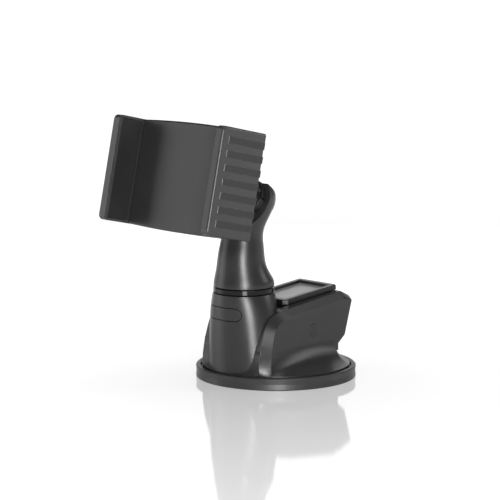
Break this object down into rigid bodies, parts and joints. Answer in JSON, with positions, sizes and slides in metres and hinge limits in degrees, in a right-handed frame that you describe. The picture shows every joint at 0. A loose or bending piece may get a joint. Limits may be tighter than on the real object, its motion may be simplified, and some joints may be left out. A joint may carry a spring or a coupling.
{
  "type": "car phone mount",
  "caption": "Windscreen phone mount: round suction base with a locking lever, a swivelling neck, a ball head and a spring-closed cradle with ribbed side arms.",
  "frame": {"origin": "centre of the suction base's underside, on the plane it seals against", "axes": "+Z away from the surface it is stuck to, -Y towards the cradle, +Y towards the lever, X across the cradle"},
  "size_m": [0.079, 0.1213, 0.1314],
  "materials": {
    "shell": "satin charcoal",
    "grip": "matt black rubber",
    "gloss_ring": "glossy black",
    "inlay": "smooth satin grey",
    "inner": "plain black moulding",
    "acetal": "natural white low-friction plastic",
    "cup": "smooth grey rubber",
    "gel": "tacky translucent gel",
    "ball": "smooth charcoal",
    "steel": "ground steel",
    "zinc": "zinc-plated steel"
  },
  "bodies": {
    "base": {"suction_cup": "cup", "gel_pad": "gel", "base_plate": "inner", "base_screws": "zinc", "base_housing": "shell", "swivel_bush": "acetal", "lever_pin": "steel", "lever_pin_caps": "shell", "button_spring": "steel"},
    "lever": {"suction_lever": "shell", "lever_inlay": "inlay", "crank_pin": "steel"},
    "stem": {"cup_stem": "acetal", "cup_insert": "steel"},
    "button": {"release_button": "shell"},
    "neck": {"neck_shell": "shell", "collar_ring": "gloss_ring", "swivel_shaft": "acetal", "shaft_clip": "steel", "ball_seat": "inner"},
    "ball": {"ball_stud": "ball"},
    "cradle": {"back_cover": "shell", "front_plate": "shell", "cover_screws": "zinc", "friction_ring": "grip", "pinion_axle": "steel"},
    "nut": {"lock_nut": "inner"},
    "pinion": {"pinion_gear": "acetal", "clamp_spring": "steel"},
    "right_jaw": {"right_arm": "shell", "right_pad": "grip", "right_rack": "acetal"},
    "left_jaw": {"left_arm": "shell", "left_pad": "grip", "left_rack": "acetal"}
  },
  "joints": [
    {"name": "lever_hinge", "type": "hinge", "parent": "base", "child": "lever", "pos_m": [0, 0.005, 0.0245], "axis": [1, 0, 0], "range_deg": [0, 45]},
    {"name": "stem_slide", "type": "slide", "parent": "base", "child": "stem", "axis": [0, 0, 1], "range_m": [-0.0039, 0], "deforming": ["suction_cup"]},
    {"name": "button_slide", "type": "slide", "parent": "base", "child": "button", "axis": [0, 1, 0], "range_m": [0, 0.0015], "stiffness_N_per_m": 600, "springref_m": -0.001, "deforming": ["button_spring"]},
    {"name": "neck_swivel", "type": "hinge", "parent": "base", "child": "neck", "pos_m": [0, -0.022, 0.044], "axis": [0, 0, 1], "continuous": true},
    {"name": "ball_tilt", "type": "hinge", "parent": "neck", "child": "ball", "pos_m": [0, -0.0171, 0.0898], "axis": [-1, 0, 0], "range_deg": [-20, 55]},
    {"name": "cradle_spin", "type": "hinge", "parent": "ball", "child": "cradle", "pos_m": [0, -0.0171, 0.0898], "axis": [0, 0.9763, -0.2164], "continuous": true},
    {"name": "lock_nut_turn", "type": "hinge", "parent": "cradle", "child": "nut", "pos_m": [0, -0.0171, 0.0898], "axis": [0, 0.9763, -0.2164], "range_deg": [-120, 0]},
    {"name": "right_jaw_slide", "type": "slide", "parent": "cradle", "child": "right_jaw", "axis": [1, 0, 0], "range_m": [0, 0.009], "stiffness_N_per_m": 300, "springref_m": -0.01},
    {"name": "left_jaw_slide", "type": "slide", "parent": "cradle", "child": "left_jaw", "axis": [-1, 0, 0], "range_m": [0, 0.009]},
    {"name": "pinion_spin", "type": "hinge", "parent": "cradle", "child": "pinion", "pos_m": [0, -0.06167, 0.10368], "axis": [0, 0.9763, -0.2164], "range_deg": [0, 86.2]}
  ],
  "couplings": [
    {"joint": "lever_hinge", "follows": "stem_slide", "rad_per_m": -200.4},
    {"joint": "left_jaw_slide", "follows": "right_jaw_slide", "ratio": 1},
    {"joint": "pinion_spin", "follows": "right_jaw_slide", "rad_per_m": 166.67}
  ]
}
